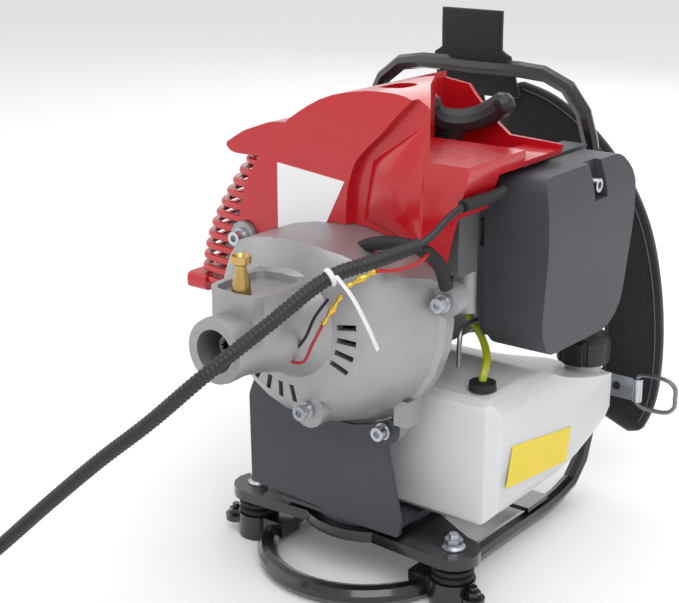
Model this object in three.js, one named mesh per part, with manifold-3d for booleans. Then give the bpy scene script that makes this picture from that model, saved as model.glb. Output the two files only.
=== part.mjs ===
// Backpack power unit of a concrete vibrator: a small four-stroke engine with a clutch housing for a
// flexible poker shaft, standing on a turntable and rubber mounts in a bent tube frame with a harness.
// Millimetres, +Z up. The turntable axis is the Z axis, the output bore looks along -Y, and the
// wearer's back is on the +Y side.
import * as THREE from 'three';
import { mergeVertices } from 'three/addons/utils/BufferGeometryUtils.js';
import Module from 'manifold-3d';

const wasm = await Module();
wasm.setup();

// ---- driving dimensions ----
const GAP = 0.3; // clearance between touching pieces
const LOOP_R = 61; // centre line radius of the round front of the base
const LOOP_TUBE_R = 6.5;
const FRAME_TUBE_R = 5.5;
const BASE_Z = LOOP_TUBE_R; // height of the base tubes' centre line
const HOOP_TOP_Z = 290;
const HOOP_RIGHT_X = 63;
const HOOP_LEFT_X = -115;
const HOOP_FOOT_Y = 166; // the hoop leans forward from here
const HOOP_HEAD_Y = 150;
const MOUNT_X = 75; // the front rubber mounts, either side of the turntable
const MOUNT_Y = -25;
const REAR_MOUNT_Y = 96;
const MOUNT_BASE_Z = 16;
const PLATE_Z = 32; // underside of the mounting plate
const PLATE_T = 3;
const DISH_R = 46;
const CRANK_Z = 177;
const FAN_R = 72; // rim of the fan cover
const BORE_R = 12;
const NOZZLE_R = 18;
const NOZZLE_LENGTH = 147; // from the turntable axis to the face of the output bore
const RIM_Y = -29; // joint between fan cover and crankcase
const CORD_R = 4.25;
const COIL_R = 47; // middle of the coiled conduit's turns
const PISTON_STROKE = 26;

// ---- finishes ----
function finish(color, roughness, metalness) {
  return new THREE.MeshStandardMaterial({ color, roughness, metalness });
}
const blackPaint = finish(0x17181a, 0.3, 0.4);
const greyPaint = finish(0x4b4c52, 0.45, 0.3);
const castAlloy = finish(0xa9a7aa, 0.45, 0.85);
const steel = finish(0xb9bcc0, 0.3, 1.0);
const zinc = finish(0xc6cbd2, 0.25, 1.0);
const brassPlate = finish(0xb8a070, 0.3, 1.0);
const redPlastic = finish(0xd0202e, 0.25, 0.0);
const blackPlastic = finish(0x242527, 0.5, 0.0);
const darkPlastic = finish(0x47484d, 0.6, 0.0);
const tankPlastic = finish(0xd9dadf, 0.4, 0.0);
const rubber = finish(0x17171a, 0.7, 0.0);
const webbing = finish(0x141416, 0.9, 0.0);
const fuelHose = finish(0xb4bf2a, 0.3, 0.0);
const foam = finish(0x3a3a3a, 0.95, 0.0);

// ---- solids ----
// A closed geometry as a solid that can be cut and joined.
function solid(geometry) {
  const bare = geometry.index ? geometry.toNonIndexed() : geometry.clone();
  bare.deleteAttribute('normal');
  bare.deleteAttribute('uv');
  const merged = mergeVertices(bare, 1e-4);
  return new wasm.Manifold(new wasm.Mesh({
    numProp: 3,
    vertProperties: new Float32Array(merged.attributes.position.array),
    triVerts: new Uint32Array(merged.index.array),
  }));
}

function surface(body) {
  const mesh = body.getMesh();
  const geometry = new THREE.BufferGeometry();
  geometry.setAttribute('position', new THREE.BufferAttribute(mesh.vertProperties.slice(), 3));
  geometry.setIndex(new THREE.BufferAttribute(mesh.triVerts.slice(), 1));
  geometry.computeVertexNormals();
  return geometry;
}

function joined(...bodies) {
  return bodies.reduce((sum, body) => sum.add(body));
}

// A box from its lowest to its highest corner.
function block(low, high) {
  const size = high.map((value, i) => value - low[i]);
  const middle = high.map((value, i) => (value + low[i]) / 2);
  return solid(new THREE.BoxGeometry(...size).translate(...middle));
}

const Z_AXIS = new THREE.Vector3(0, 0, 1);

// Turns a geometry made along +Z to point along a direction and moves its origin to a point.
function aim(geometry, point, direction) {
  const turn = new THREE.Quaternion().setFromUnitVectors(Z_AXIS, new THREE.Vector3(...direction).normalize());
  return geometry.applyQuaternion(turn).translate(...point);
}

// A cylinder from a point, a length along a direction.
function rod(radius, length, point, direction, segments = 20) {
  const geometry = new THREE.CylinderGeometry(radius, radius, length, segments);
  return solid(aim(geometry.rotateX(Math.PI / 2).translate(0, 0, length / 2), point, direction));
}

// The same profile, run upwards on its outer side so the turned faces look out.
function facingOut(points) {
  return THREE.ShapeUtils.area(points) > 0 ? points : points.slice().reverse();
}

// A turned body: [radius, height] pairs around a line through a point, heights along the direction.
function turned(profile, point, direction, segments = 32) {
  const points = profile.map(([r, h]) => new THREE.Vector2(r, h));
  const geometry = new THREE.LatheGeometry(facingOut(points), segments).rotateX(Math.PI / 2);
  return solid(aim(geometry, point, direction));
}

// A shape or an outline of pairs as a THREE.Shape.
function shapeOf(outline) {
  return outline instanceof THREE.Shape
    ? outline
    : new THREE.Shape(outline.map(([x, y]) => new THREE.Vector2(x, y)));
}

// A flat outline of [x, y] pairs, raised from one height to another.
function raised(outline, z0, z1) {
  const geometry = new THREE.ExtrudeGeometry(shapeOf(outline), {
    depth: z1 - z0, bevelEnabled: false, curveSegments: 3,
  });
  return solid(geometry.translate(0, 0, z0));
}

// Axes of an outline's own x, y and depth in the world, for outlines that don't lie flat.
const FACING_Y = new THREE.Matrix4().makeBasis(
  new THREE.Vector3(1, 0, 0), new THREE.Vector3(0, 0, 1), new THREE.Vector3(0, -1, 0),
);
const FACING_X = new THREE.Matrix4().makeBasis(
  new THREE.Vector3(0, 1, 0), new THREE.Vector3(0, 0, 1), new THREE.Vector3(1, 0, 0),
);

// An outline in the XZ plane, carried along Y from y0 to y1.
function across(outline, y0, y1) {
  const geometry = new THREE.ExtrudeGeometry(shapeOf(outline), {
    depth: y1 - y0, bevelEnabled: false, curveSegments: 3,
  });
  return solid(geometry.translate(0, 0, -y1).applyMatrix4(FACING_Y));
}

// An outline in the YZ plane, carried along X from x0 to x1.
function along(outline, x0, x1) {
  const geometry = new THREE.ExtrudeGeometry(shapeOf(outline), {
    depth: x1 - x0, bevelEnabled: false, curveSegments: 3,
  });
  return solid(geometry.translate(0, 0, x0).applyMatrix4(FACING_X));
}

// A closed outline whose corners are rounded off at a radius.
function rounded(points, radius) {
  const corners = points.map(([x, y]) => new THREE.Vector2(x, y));
  const shape = new THREE.Shape();
  corners.forEach((corner, i) => {
    const before = corners.at(i - 1);
    const after = corners[(i + 1) % corners.length];
    const reach = Math.min(radius, corner.distanceTo(before) / 2.01, corner.distanceTo(after) / 2.01);
    const start = corner.clone().lerp(before, reach / corner.distanceTo(before));
    const end = corner.clone().lerp(after, reach / corner.distanceTo(after));
    if (i === 0) {
      shape.moveTo(start.x, start.y);
    } else {
      shape.lineTo(start.x, start.y);
    }
    shape.quadraticCurveTo(corner.x, corner.y, end.x, end.y);
  });
  shape.closePath();
  return shape;
}

function rectangle(x0, x1, y0, y1) {
  return [[x0, y0], [x1, y0], [x1, y1], [x0, y1]];
}

// A round section carried along a smooth curve through points.
function tube(points, radius, steps, sides = 10) {
  const curve = new THREE.CatmullRomCurve3(points.map((p) => new THREE.Vector3(...p)), false, 'centripetal');
  const section = new THREE.Shape();
  for (let i = 0; i < sides; i += 1) {
    const angle = (2 * Math.PI * i) / sides;
    const [x, y] = [radius * Math.cos(angle), radius * Math.sin(angle)];
    if (i === 0) {
      section.moveTo(x, y);
    } else {
      section.lineTo(x, y);
    }
  }
  section.closePath();
  return solid(new THREE.ExtrudeGeometry(section, { steps, extrudePath: curve, bevelEnabled: false }));
}

// Points on an arc in the XY plane, angles in degrees.
function arc(x, y, z, radius, from, to, count) {
  return Array.from({ length: count + 1 }, (_, i) => {
    const angle = THREE.MathUtils.degToRad(from + ((to - from) * i) / count);
    return [x + radius * Math.cos(angle), y + radius * Math.sin(angle), z];
  });
}

// A place at an angle around the crank, seen from the front, 0 towards +X and 90 up.
function aroundCrank(radius, degrees) {
  const angle = THREE.MathUtils.degToRad(degrees);
  return [radius * Math.cos(angle), CRANK_Z + radius * Math.sin(angle)];
}

const assembly = new THREE.Group();

function piece(name, body, material) {
  const mesh = new THREE.Mesh(surface(body), material);
  mesh.name = name;
  assembly.add(mesh);
  return mesh;
}

// ---- tube frame ----
const REAR_TUBE_FRONT_Y = -6; // the thinner rear tubes butt against the loop's ends here

function frontLoop() {
  const side = REAR_TUBE_FRONT_Y - GAP;
  const turn = arc(0, -12, BASE_Z, LOOP_R, 0, -180, 14);
  return tube([[LOOP_R, side, BASE_Z], ...turn, [-LOOP_R, side, BASE_Z]], LOOP_TUBE_R, 26, 10);
}

function hoopFrame() {
  const right = [
    [LOOP_R, REAR_TUBE_FRONT_Y, BASE_Z], [LOOP_R + 0.5, 60, BASE_Z], [LOOP_R + 1, 122, BASE_Z],
    [LOOP_R + 1.5, 150, 14], [HOOP_RIGHT_X, 163, 34], [HOOP_RIGHT_X, HOOP_FOOT_Y, 62],
    [HOOP_RIGHT_X, 158, 170], [HOOP_RIGHT_X - 1, 152, 240], [HOOP_RIGHT_X - 9, HOOP_HEAD_Y, 270],
    [HOOP_RIGHT_X - 25, HOOP_HEAD_Y, 286],
  ];
  const left = [
    [HOOP_LEFT_X + 25, HOOP_HEAD_Y, 286], [HOOP_LEFT_X + 9, HOOP_HEAD_Y, 270],
    [HOOP_LEFT_X + 1, 152, 240], [HOOP_LEFT_X, 158, 170], [HOOP_LEFT_X, HOOP_FOOT_Y, 62],
    [HOOP_LEFT_X + 1, 163, 34], [HOOP_LEFT_X + 7, 150, 14], [HOOP_LEFT_X + 16, 126, BASE_Z],
    [-LOOP_R - 14, 60, BASE_Z], [-LOOP_R - 2, 24, BASE_Z], [-LOOP_R, 6, BASE_Z],
    [-LOOP_R, REAR_TUBE_FRONT_Y, BASE_Z],
  ];
  const top = [[20, HOOP_HEAD_Y, HOOP_TOP_Z], [-26, HOOP_HEAD_Y, HOOP_TOP_Z], [-72, HOOP_HEAD_Y, HOOP_TOP_Z]];
  return tube([...right, ...top, ...left], FRAME_TUBE_R, 54, 8);
}

const CROSS_MEMBER_W = 26;
const CROSS_MEMBER_T = 3;

function crossMember() {
  const z = BASE_Z + FRAME_TUBE_R + GAP;
  const y = REAR_MOUNT_Y;
  return block(
    [-82, y - CROSS_MEMBER_W / 2, z], [LOOP_R + 4, y + CROSS_MEMBER_W / 2, z + CROSS_MEMBER_T],
  );
}

// The round lower cup of a front mount with its arm to the loop and its bolted ear.
function frontClamp(side) {
  const x = side * MOUNT_X;
  const cup = rod(14, MOUNT_BASE_Z, [x, MOUNT_Y, 0], [0, 0, 1], 20);
  const inner = side * (LOOP_R - 12);
  const arm = block([Math.min(x, inner), MOUNT_Y - 9, 6], [Math.max(x, inner), MOUNT_Y + 9, MOUNT_BASE_Z]);
  const earX = x + side * 17;
  const ear = rod(7, 4, [earX, MOUNT_Y - 4, 6], [0, 0, 1], 16);
  const web = block([Math.min(x, earX), MOUNT_Y - 9, 6], [Math.max(x, earX), MOUNT_Y + 1, 10]);
  const nut = rod(4.6, 4, [earX, MOUNT_Y - 4, 10], [0, 0, 1], 6);
  const stud = rod(2.4, 7, [earX, MOUNT_Y - 4, 10], [0, 0, 1], 10);
  const start = side > 0 ? 0 : -180;
  const room = [[LOOP_R * side, 20, BASE_Z], ...arc(0, -12, BASE_Z, LOOP_R, start, -90, 8)];
  return joined(cup, arm, ear, web, nut, stud).subtract(tube(room, LOOP_TUBE_R + GAP, 16, 10));
}

// A ribbed rubber buffer between its lower seat and the mounting plate.
function rubberBuffer(x, y, z0) {
  const height = PLATE_Z - GAP - z0 - GAP;
  const ribs = 3;
  const profile = [[0, 0], [12.5, 0], [13, 1]];
  for (let i = 0; i < ribs; i += 1) {
    const low = 1 + ((height - 2) * i) / ribs;
    const pitch = (height - 2) / ribs;
    profile.push([13, low + pitch * 0.5], [10.4, low + pitch * 0.75], [13, low + pitch]);
  }
  profile.push([12.5, height], [0, height]);
  return turned(profile, [x, y, z0 + GAP], [0, 0, 1], 16);
}

// The butterfly outline of the mounting plate, drawn in by an inset: two front arms, a round dish and a
// rear arm.
function plateSolid(inset, z0, z1) {
  const dish = rod(DISH_R - inset, z1 - z0, [0, 0, z0], [0, 0, 1], 28);
  const endR = 16.5 - inset;
  const arms = [-1, 1].map((side) => {
    const x = side * MOUNT_X;
    const end = rod(endR, z1 - z0, [x, MOUNT_Y, z0], [0, 0, 1], 16);
    const corners = [
      [x, MOUNT_Y - endR], [x, MOUNT_Y + endR], [side * 20, 20 - inset], [side * 20, -38 + inset],
    ];
    const neck = raised(side > 0 ? corners : corners.reverse(), z0, z1);
    return joined(end, neck);
  });
  const rearEnd = rod(endR, z1 - z0, [0, REAR_MOUNT_Y, z0], [0, 0, 1], 16);
  const rearArm = raised(rectangle(-endR, endR, 0, REAR_MOUNT_Y), z0, z1);
  return joined(dish, ...arms, rearEnd, rearArm);
}

function mountingPlate() {
  const skirtBase = PLATE_Z - 4;
  const wall = 2.2;
  return plateSolid(0, skirtBase, PLATE_Z + PLATE_T).subtract(plateSolid(wall, skirtBase - 1, PLATE_Z));
}

function flangeNut(x, y) {
  const z = PLATE_Z + PLATE_T + GAP;
  const flange = turned([[0, 0], [7.2, 0], [7.2, 1], [5.6, 2.2], [0, 2.2]], [x, y, z], [0, 0, 1], 16);
  const hex = rod(5.6, 6, [x, y, z], [0, 0, 1], 6);
  const stud = rod(3, 9, [x, y, z], [0, 0, 1], 8);
  return joined(flange, hex, stud);
}

// ---- engine bracket on its turntable ----
const TURNTABLE_Z = PLATE_Z + PLATE_T + GAP;
const TURNTABLE_T = 3;
const BRACKET_Y = -40; // front of the bracket's upright face
const BRACKET_T = 2.5;

// The stamped bracket: a disc that turns on the mounting plate, a base and an upright scooped face.
function engineBracket() {
  const foot = TURNTABLE_Z + TURNTABLE_T;
  const disc = rod(DISH_R - 6, TURNTABLE_T, [0, 0, TURNTABLE_Z], [0, 0, 1], 28);
  const face = across(rounded([
    [-68, foot + 6], [-66, foot + 6], [40, foot], [46, foot], [47, foot + 10], [37, 92], [36, 116],
    [10, 116], [-64, 116], [-69, 104],
  ], 3), BRACKET_Y, BRACKET_Y + BRACKET_T);
  const scoop = rod(FAN_R + 3, 20, [0, BRACKET_Y - 8, CRANK_Z], [0, 1, 0], 36);
  const [boltX, boltZ] = lugPlace('bracket');
  const ear = rod(9, BRACKET_T, [boltX, BRACKET_Y, boltZ], [0, 1, 0], 16);
  const hole = rod(2.8, 20, [boltX, BRACKET_Y - 8, boltZ], [0, 1, 0], 10);
  const base = block([-44, BRACKET_Y, foot], [40, 44, foot + BRACKET_T]);
  return joined(face.add(ear).subtract(joined(scoop, hole)), base, disc);
}

// ---- fan cover and clutch housing, one casting ----
// The casting's top edge is a flat arc where the red cover takes over.
const CROWN_R = 114;
const CROWN_Z = 110;
const PIN_Y = -124;
const LOWER_BOLT = [11, 126];
// Each lug's radius and angle about the crank, and how far it stands forward of the joint.
const LUGS = {
  upper_left: [76.5, 158, 12],
  right: [76.5, 11, 12],
  bracket: [80, -64, RIM_Y - BRACKET_Y - BRACKET_T - GAP],
};

function lugPlace(name) {
  return aroundCrank(LUGS[name][0], LUGS[name][1]);
}


function fanCover() {
  const outside = turned([
    [0, 147], [NOZZLE_R, 147], [NOZZLE_R + 0.5, 144], [NOZZLE_R, 132], [20, 118], [25, 98], [32, 86],
    [48, 82], [60, 72], [67, 58], [FAN_R - 1, 40], [FAN_R + 2, 37], [FAN_R + 2, 29], [0, 29],
  ], [0, 0, CRANK_Z], [0, -1, 0], 28);
  const lugs = Object.entries(LUGS).map(([name, [, , height]]) => {
    const [x, z] = lugPlace(name);
    return rod(9, height, [x, RIM_Y - height, z], [0, 1, 0], 14);
  });
  const lowerPad = rod(11, 40, [LOWER_BOLT[0], -82, LOWER_BOLT[1]], [0, 1, 0], 20);
  const pinBlock = raised(rounded(rectangle(-20, 20, -133, -72), 13), CRANK_Z + 2, 206);
  const foot = block([44, -44, 112], [54, RIM_Y, 128]);
  const crown = rod(CROWN_R, 160, [0, -160, CROWN_Z], [0, 1, 0], 44);
  const body = joined(outside, lowerPad).intersect(crown).add(pinBlock);
  const hollow = turned([
    [0, 148], [BORE_R + 0.2, 148], [BORE_R + 0.2, 121], [16.3, 121], [16.3, 83], [39, 79], [39, 56], [68, 52],
    [68, 28], [0, 28],
  ], [0, 0, CRANK_Z], [0, -1, 0], 24);
  const inner = rod(CROWN_R - 3, 58, [0, -83, CROWN_Z], [0, 1, 0], 40);
  const front = rod(39, 70, [0, -149, CRANK_Z], [0, 1, 0], 20);
  const pinHole = rod(3.4, 60, [0, PIN_Y, CRANK_Z], [0, 0, 1], 12);
  const tray = raised(rounded(rectangle(-16, 16, -131, -90), 10), 202, 210);
  const boltHoles = [...Object.keys(LUGS).map(lugPlace), LOWER_BOLT]
    .map(([x, z]) => rod(2.8, 90, [x, -100, z], [0, 1, 0], 10));
  const slots = [];
  for (let i = 0; i < 4; i += 1) {
    const low = -124 + i * 12;
    const right = 6 - i * 12;
    slots.push(slot(...aroundCrank(43, low), -97, 46, 11, low));
    slots.push(slot(...aroundCrank(40, right), -97, 46, 11, right));
  }
  const cavity = hollow.intersect(joined(inner, front));
  return joined(body, ...lugs, foot).subtract(joined(cavity, pinHole, tray, ...boltHoles, ...slots));
}

// A narrow radial slot through the front of the fan cover.
function slot(x, z, y, depth, length, degrees) {
  const geometry = new THREE.BoxGeometry(length, depth, 3.2);
  geometry.rotateY(-THREE.MathUtils.degToRad(degrees)).translate(x, y + depth / 2, z);
  return solid(geometry);
}

// A socket head bolt with its washers; the head looks back along the direction.
function socketBolt(point, direction, length = 14) {
  const shank = rod(2.4, length, point, direction, 8);
  const washer = rod(5.2, 2.2, [0, 1, 2].map((i) => point[i] - direction[i] * 2.2), direction, 16);
  const head = rod(4.3, 6, [0, 1, 2].map((i) => point[i] - direction[i] * 8.2), direction, 14);
  const socket = rod(2.4, 3.5, [0, 1, 2].map((i) => point[i] - direction[i] * 8.6), direction, 6);
  return joined(shank, washer, head).subtract(socket);
}

function lugBolt(name, y) {
  const [x, z] = lugPlace(name);
  return socketBolt([x, y, z], [0, 1, 0], RIM_Y - y - 1);
}

// ---- clutch, shafts and flywheel ----
function clutchDrum() {
  const drum = turned([
    [0, 154 - 18], [6.2, 154 - 18], [7.8, 120], [7.8, 80], [36, 77], [36, 60], [33.5, 60], [33.5, 74.5],
    [12, 76], [0, 76],
  ], [0, 0, CRANK_Z], [0, -1, 0], 28);
  const teeth = 6;
  const bore = rod(3.4, 18, [0, -137, CRANK_Z], [0, 1, 0], 16);
  const splines = Array.from({ length: teeth }, (_, i) => {
    const geometry = new THREE.BoxGeometry(1.1, 18, 9);
    return solid(geometry.rotateY((Math.PI * i) / teeth).translate(0, -128, CRANK_Z));
  });
  return drum.subtract(joined(bore, ...splines));
}

function bearing(y) {
  return turned([[8.1, 0], [16, 0], [16, 9], [8.1, 9], [8.1, 0]], [0, y, CRANK_Z], [0, -1, 0], 20);
}

const SHOE_PIVOT_X = 21;
const SHOE_PIVOT_RISE = 9;

// One centrifugal shoe: a ring segment with its pivot hole at one end.
function clutchShoe(side) {
  const ring = turned([[13, 0], [31.5, 0], [31.5, 10], [13, 10], [13, 0]], [0, -61, CRANK_Z], [0, -1, 0], 28);
  const half = side > 0
    ? block([-40, -75, CRANK_Z + 3], [40, -58, CRANK_Z + 40])
    : block([-40, -75, CRANK_Z - 40], [40, -58, CRANK_Z - 3]);
  const hole = rod(2.6, 20, [side * SHOE_PIVOT_X, -76, CRANK_Z + side * SHOE_PIVOT_RISE], [0, 1, 0], 10);
  return ring.intersect(half).subtract(hole);
}

function crankshaft() {
  const z = CRANK_Z;
  const front = turned([
    [0, 73], [7, 73], [7, 60], [9, 56], [9, 54], [7.5, 54], [7.5, 0], [0, 0],
  ], [0, 0, z], [0, -1, 0], 14);
  const hub = rod(28, 2.6, [0, -59.8, z], [0, 1, 0], 20);
  const pivots = [-1, 1].map((side) => (
    rod(2.3, 14, [side * SHOE_PIVOT_X, -72, z + side * SHOE_PIVOT_RISE], [0, 1, 0], 10)
  ));
  const cheeks = [0, 20].map((y) => rod(19, 8, [0, y, z], [0, 1, 0], 18));
  const pin = rod(5, 20, [0, 4, z + PISTON_STROKE / 2], [0, 1, 0], 14);
  const rear = rod(7.5, 52, [0, 26, z], [0, 1, 0], 14);
  return joined(front, hub, ...pivots, ...cheeks, pin, rear);
}

function flywheel() {
  const disc = turned([[8, 36], [8, 50], [16, 50], [16, 41], [43, 41], [43, 36], [8, 36]],
    [0, 0, CRANK_Z], [0, -1, 0], 28);
  const blades = Array.from({ length: 10 }, (_, i) => {
    const geometry = new THREE.BoxGeometry(22, 9, 2);
    geometry.translate(31, -45, 0).rotateY((2 * Math.PI * i) / 10).translate(0, 0, CRANK_Z);
    return solid(geometry);
  });
  return joined(disc, ...blades);
}

// ---- crankcase, cylinder and piston ----
const CASE_REAR_Y = 52;
const CYLINDER_Y = 14;
const CYLINDER_Z = 205; // foot of the cylinder
const BORE_OF_CYLINDER = 16;

function crankcase() {
  const shell = turned([
    [0, 28.7], [67, 28.7], [67, 24], [38, 22], [36, -40], [50, -CASE_REAR_Y], [50, -77.7], [46, -77.7],
    [46, -CASE_REAR_Y - 3], [0, -CASE_REAR_Y - 3],
  ], [0, 0, CRANK_Z], [0, -1, 0], 28);
  const seat = block([-26, -12, CRANK_Z + 17.3], [26, 39.6, CYLINDER_Z]);
  const room = rod(25, 46, [0, -14, CRANK_Z], [0, 1, 0], 20);
  const shaftHole = rod(8.3, 120, [0, -40, CRANK_Z], [0, 1, 0], 14);
  const bore = rod(BORE_OF_CYLINDER, 60, [0, CYLINDER_Y, CRANK_Z], [0, 0, 1], 20);
  const bossHoles = Object.keys(LUGS).map(lugPlace).map(([x, z]) => rod(11.3, 20, [x, -34.4, z], [0, 1, 0], 9));
  const cylinderRoom = block([-28.4, -13.7, CYLINDER_Z - GAP], [28.4, 42.3, 231]);
  return joined(shell, seat).subtract(joined(room, shaftHole, bore, cylinderRoom, ...bossHoles));
}

function cylinder() {
  const bore = BORE_OF_CYLINDER;
  const profile = [[bore, 0], [25, 0], [25, 4], [20, 4]];
  const fins = 4;
  for (let i = 0; i < fins; i += 1) {
    const z = 9 + i * 8;
    profile.push([20, z], [27, z], [27, z + 2.6], [20, z + 2.6]);
  }
  profile.push([20, 42], [0, 42], [0, 37], [bore, 37], [bore, 0]);
  return turned(profile, [0, CYLINDER_Y, CYLINDER_Z], [0, 0, 1], 20);
}

function piston() {
  const z = CYLINDER_Z + 20;
  const crown = rod(BORE_OF_CYLINDER - 0.4, 16, [0, CYLINDER_Y, z], [0, 0, 1], 20);
  const inside = rod(12, 13, [0, CYLINDER_Y, z - 1], [0, 0, 1], 14);
  return crown.subtract(inside);
}

function sparkPlug() {
  return turned([[0, 0], [4, 0], [4, 3], [7, 3], [7, 7], [4, 8], [3, 18], [0, 18]],
    [0, CYLINDER_Y, CYLINDER_Z + 43.5], [-0.2, -0.1, 1], 12);
}

// ---- red covers ----
const COVER_FRONT_Y = -38;
const STEP_Y = -32; // the front's step back, right of its main band
const SHELF_Z = 266; // the shelf in front of the starter grip
const COVER_REAR_Y = 74;

function coverOutline(inset) {
  return rounded([
    [-74 + inset, 190], [-76 + inset, 224], [-66 + inset, 248], [-40 + inset / 2, 279 - inset / 2],
    [-10, 297 - inset], [22, 303 - inset], [47, 302 - inset], [62 - inset, 292 - inset],
    [86 - inset, 268], [72 - inset, 230], [64 - inset, 190],
  ], 14);
}

// The front's step back, right of its main band, seen from the front.
function bandStep(inset) {
  return rounded([
    [5 - inset, 180], [5 - inset, 234], [6 - inset, 246], [11 - inset, 261], [18 - inset, 269],
    [28 - inset, 278], [42 - inset, 293], [56 - inset, 306], [60 - inset, 330], [120, 330], [120, 180],
  ], 4);
}

// The shoulder in front of the starter grip, seen from above: a slanted wall and a shelf right of it.
function shoulder(inset, floor) {
  return raised(rounded([
    [62 - inset, -60], [120, -60], [120, 60], [12 - inset, 60], [20 - inset, 29], [36 - inset, 0],
    [60 - inset, -36],
  ], 3), floor, 330);
}

// The moulded engine cover, open below, with a stepped front, a shoulder and a round-cornered pocket for
// the starter grip, a vent over the spark plug and cut-outs for the intake, the exhaust and the starter.
function topCover() {
  const wall = 3;
  const shell = across(coverOutline(0), COVER_FRONT_Y, COVER_REAR_Y);
  const hollow = across(coverOutline(wall), COVER_FRONT_Y + wall, COVER_REAR_Y - wall);
  const under = block([-71, COVER_FRONT_Y + wall, 180], [61, COVER_REAR_Y - wall, 200]);
  const crown = rod(CROWN_R + GAP, 60, [0, -70, CROWN_Z], [0, 1, 0], 44);
  const [boltX, boltZ] = lugPlace('upper_left');
  const boltRoom = rod(10, 30, [boltX, -58, boltZ], [0, 1, 0], 16);
  const vent = raised(rounded(rectangle(14, 32, -24, -2), 8), 270, 320);
  const pocketWall = joined(
    raised(rounded(rectangle(-4, 60, 26, 90), 12), 250, 320),
    raised(rounded(rectangle(30, 100, 26, 90), 12), 256.5, 320),
  );
  const pocket = joined(
    raised(rounded(rectangle(-1, 57, 29, 90), 10), 253, 320),
    raised(rounded(rectangle(33, 100, 29, 90), 10), 259.5, 320),
  );
  const rearRim = across([
    [-4, 240], [-4, 295], [17, 292], [22, 286], [35, 273], [47, 264], [90, 262], [90, 240],
  ], COVER_REAR_Y - wall, COVER_REAR_Y + 20);
  const stepWall = across(bandStep(wall), COVER_FRONT_Y - 5, STEP_Y + wall);
  const step = across(bandStep(0), COVER_FRONT_Y - 5, STEP_Y);
  const intake = joined(block([54, 2, 180], [96, 80, 256.2]), block([54, -28, 180], [96, 4, 236]));
  const ropeHole = rod(2.6, 20, ROPE_TOP.map((value, i) => value - PULL[i] * 10), PULL, 10);
  const exhaust = block([-96, 2, 180], [-66, 80, 246]);
  const rear = block([-50, COVER_REAR_Y - 10, 180], [50, COVER_REAR_Y + 2, 249]);
  const room = hollow.subtract(joined(pocketWall, stepWall, shoulder(wall, SHELF_Z - wall)));
  return shell.subtract(room).subtract(
    joined(under, crown, boltRoom, vent, pocket.subtract(rearRim), intake, exhaust, rear, ropeHole, step,
      shoulder(0, SHELF_Z).subtract(rearRim)),
  );
}

function muffler() {
  const box = across(rounded([
    [-74, 168], [-74, 240], [-96, 236], [-112, 215], [-127, 185], [-126, 168],
  ], 8), 6, 60);
  const port = rod(10, 46, [-75, CYLINDER_Y + 2, 226], [1, 0, 0], 16);
  return joined(box, port);
}

// The bar guard round the muffler: a slotted cap over a stack of U bars on two posts.
const GUARD_BARS = 13;

function guardReach(z) {
  const t = (250 - z) / 92;
  return -100 - 46 * Math.sin((Math.min(t, 1) * Math.PI) / 2);
}

function mufflerGuard() {
  const [y0, y1] = [-4, 70];
  const bars = [];
  for (let i = 0; i < GUARD_BARS; i += 1) {
    const z = 158 + (i * (250 - 158)) / (GUARD_BARS - 1);
    const x = guardReach(z);
    bars.push(tube([
      [-80, y0, z], [x + 20, y0, z], [x + 7, y0 + 4, z], [x, y0 + 18, z], [x, y1 - 18, z], [x + 7, y1 - 4, z],
      [x + 20, y1, z], [-80, y1, z],
    ], 2, 9, 4));
  }
  const posts = [y0, y1].map((y) => block([-82, y - 2, 154], [-78, y + 2, 256]));
  const cap = across(rounded([
    [-72, 247], [-62, 271], [-76, 270], [-98, 262], [-114, 252], [-108, 247],
  ], 4), y0 - 3, y1 + 3);
  const slots = Array.from({ length: 4 }, (_, i) => {
    const geometry = new THREE.BoxGeometry(30, 5, 60);
    return solid(geometry.rotateZ(0.5).translate(-90, 8 + i * 16, 262));
  });
  const foot = along(rounded([[y0 - 3, 150], [y1 + 3, 150], [y1 + 3, 161], [y0 - 3, 161]], 4), -150, -134);
  return joined(...bars, ...posts, cap.subtract(joined(...slots)), foot);
}

// ---- recoil starter ----
const STARTER_Y = 86; // front of the pulley
const PULLEY_R = 25;
const ROPE_TOP = [10, 53, 254]; // where the rope leaves its guide
const PULL = [0.5, 0, 0.866]; // the way the grip is pulled

function starterCase() {
  const shell = turned([[0, 0], [50, 0], [52, 4], [52, 27], [46, 30], [0, 30]],
    [0, STARTER_Y + 22, CRANK_Z], [0, -1, 0], 28);
  const hollow = turned([[0, 3], [49, 3], [49, 31], [0, 31]], [0, STARTER_Y + 22, CRANK_Z], [0, -1, 0], 20);
  const axle = rod(3.6, 26, [0, STARTER_Y - 6, CRANK_Z], [0, 1, 0], 12);
  const ropeHole = block([16, STARTER_Y - 4, CRANK_Z + 20], [30, STARTER_Y + 12, CRANK_Z + 60]);
  const vents = Array.from({ length: 6 }, (_, i) => {
    const [x, z] = aroundCrank(38, i * 60);
    return slot(x, z, STARTER_Y + 14, 12, 16, i * 60);
  });
  return joined(shell.subtract(joined(hollow, ...vents, ropeHole)), axle);
}

function starterPulley() {
  return turned([
    [4, 0], [PULLEY_R + 3, 0], [PULLEY_R + 3, 2], [PULLEY_R, 3.5], [PULLEY_R, 5.5], [PULLEY_R + 3, 7],
    [PULLEY_R + 3, 9], [4, 9], [4, 0],
  ], [0, STARTER_Y + 9, CRANK_Z], [0, -1, 0], 20);
}

// A point beside the starter grip's rope: so far along the pull and so far along the grip's bar.
function onGrip(pull, side) {
  return [
    ROPE_TOP[0] + PULL[0] * pull + 0.8 * side,
    ROPE_TOP[1] + PULL[1] * pull + 0.6 * side,
    ROPE_TOP[2] + PULL[2] * pull,
  ];
}

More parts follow.
